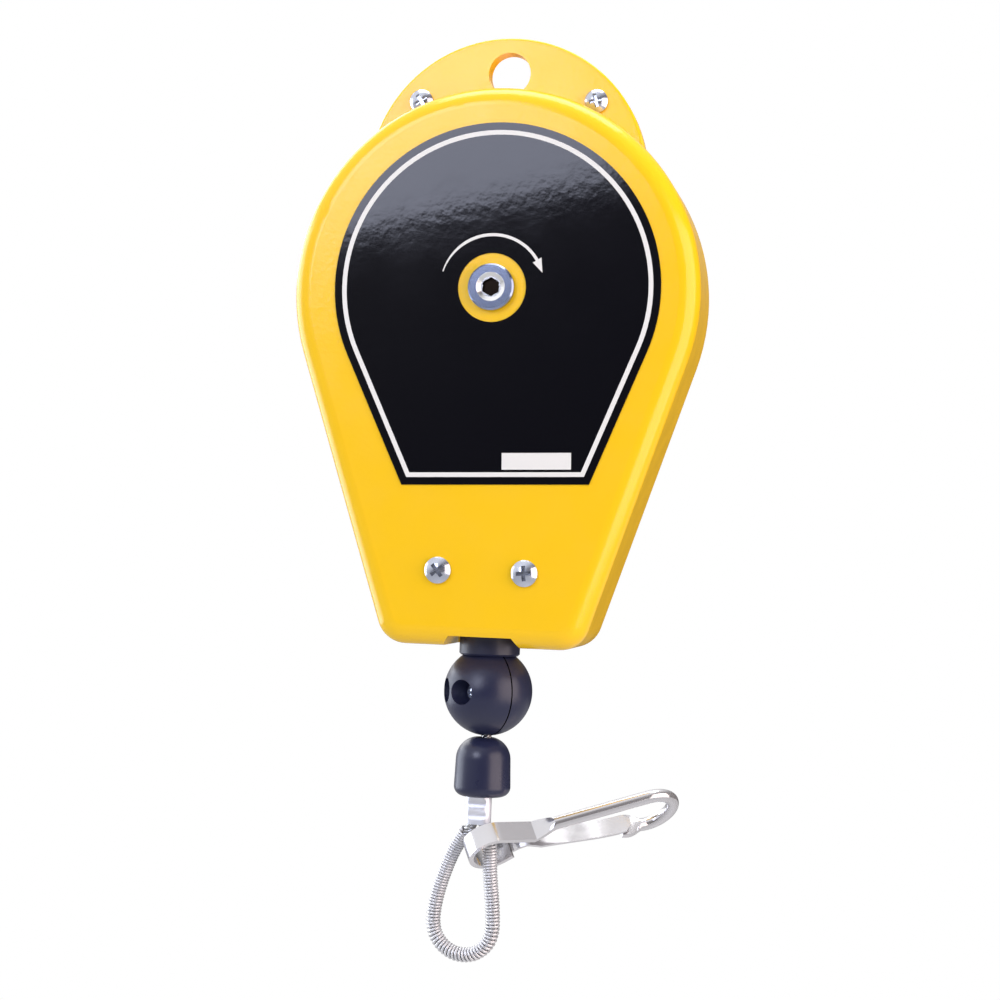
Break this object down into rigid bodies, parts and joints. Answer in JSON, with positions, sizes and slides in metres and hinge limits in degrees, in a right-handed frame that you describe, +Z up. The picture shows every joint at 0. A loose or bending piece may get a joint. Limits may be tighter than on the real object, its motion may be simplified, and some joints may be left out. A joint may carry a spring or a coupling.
{
  "type": "tool balancer",
  "caption": "Spring tool balancer: drop-shaped casing with a hanging lug, rope drum inside, stop ball, rope eye and snap hook below.",
  "frame": {"origin": "centre of the hang hole, halfway through the lug (the plane where the casing halves meet)", "axes": "+Z up, from the rope end towards the hang hole; front face along -Y; +X to the right seen from the front"},
  "size_m": [0.1246, 0.0495, 0.2848],
  "materials": {
    "casing_yellow": "satin",
    "plate_black": "gloss",
    "zinc_steel": "satin",
    "bronze": "satin",
    "machined_steel": "satin",
    "spring_steel": "satin",
    "cast_aluminium": "satin",
    "pressed_steel": "satin",
    "wire_rope": "satin",
    "black_plastic": "satin",
    "cap_plastic": "gloss",
    "ferrule_metal": "gloss",
    "sleeve_wire": "gloss",
    "hook_chrome": "polished"
  },
  "bodies": {
    "casing": {"front_cover": "casing_yellow", "rear_housing": "casing_yellow", "name_plate": "plate_black", "top_screws": "zinc_steel", "top_nuts": "zinc_steel", "bottom_screws": "zinc_steel", "front_bush": "bronze", "rear_bush": "bronze", "click_spring": "spring_steel", "click_screw": "zinc_steel", "rope_guide": "black_plastic", "rope_feed": "wire_rope", "rope_run": "wire_rope"},
    "tension_shaft": {"arbor": "machined_steel", "tension_bolt": "zinc_steel", "ratchet_wheel": "machined_steel"},
    "drum": {"drum": "cast_aluminium", "drum_bush": "bronze", "drum_cover": "pressed_steel", "drum_cover_screws": "zinc_steel", "power_spring": "spring_steel", "anchor_pin": "zinc_steel", "rope_wraps": "wire_rope", "rope_stop": "wire_rope"},
    "rope_end": {"ball_front_half": "black_plastic", "ball_rear_half": "black_plastic", "ball_screws": "zinc_steel", "ball_nuts": "zinc_steel", "rope_cap": "cap_plastic", "ferrule": "ferrule_metal", "eye_rope": "wire_rope", "eye_sleeve": "sleeve_wire"},
    "hook": {"hook_body": "hook_chrome"},
    "gate": {"hook_gate": "hook_chrome"}
  },
  "joints": [
    {"name": "drum_spin", "type": "hinge", "parent": "casing", "child": "drum", "pos_m": [0, 0, -0.068], "axis": [0, -1, 0], "range_deg": [0, 1718.8], "stiffness_Nm_per_rad": 0.0333, "springref_deg": -2578.31, "deforming": ["power_spring"]},
    {"name": "hook_travel", "type": "slide", "parent": "casing", "child": "rope_end", "axis": [0, 0, -1], "range_m": [0, 1.5], "deforming": ["rope_run"]},
    {"name": "tension_turn", "type": "hinge", "parent": "casing", "child": "tension_shaft", "pos_m": [0, 0, -0.068], "axis": [0, 1, 0], "range_deg": [0, 1080], "deforming": ["power_spring", "click_spring"]},
    {"name": "hook_turn", "type": "hinge", "parent": "rope_end", "child": "hook", "pos_m": [0.00275, -0.00134, -0.2371], "axis": [0, 0, 1], "range_deg": [-10, 65]},
    {"name": "gate_swing", "type": "hinge", "parent": "hook", "child": "gate", "pos_m": [0.00806, 0.00445, -0.23812], "axis": [0.4158, -0.5139, -0.7504], "range_deg": [0, 13], "stiffness_Nm_per_rad": 0.5, "springref_deg": -11.46}
  ],
  "couplings": [
    {"joint": "hook_travel", "follows": "drum_spin", "m_per_rad": 0.05}
  ]
}
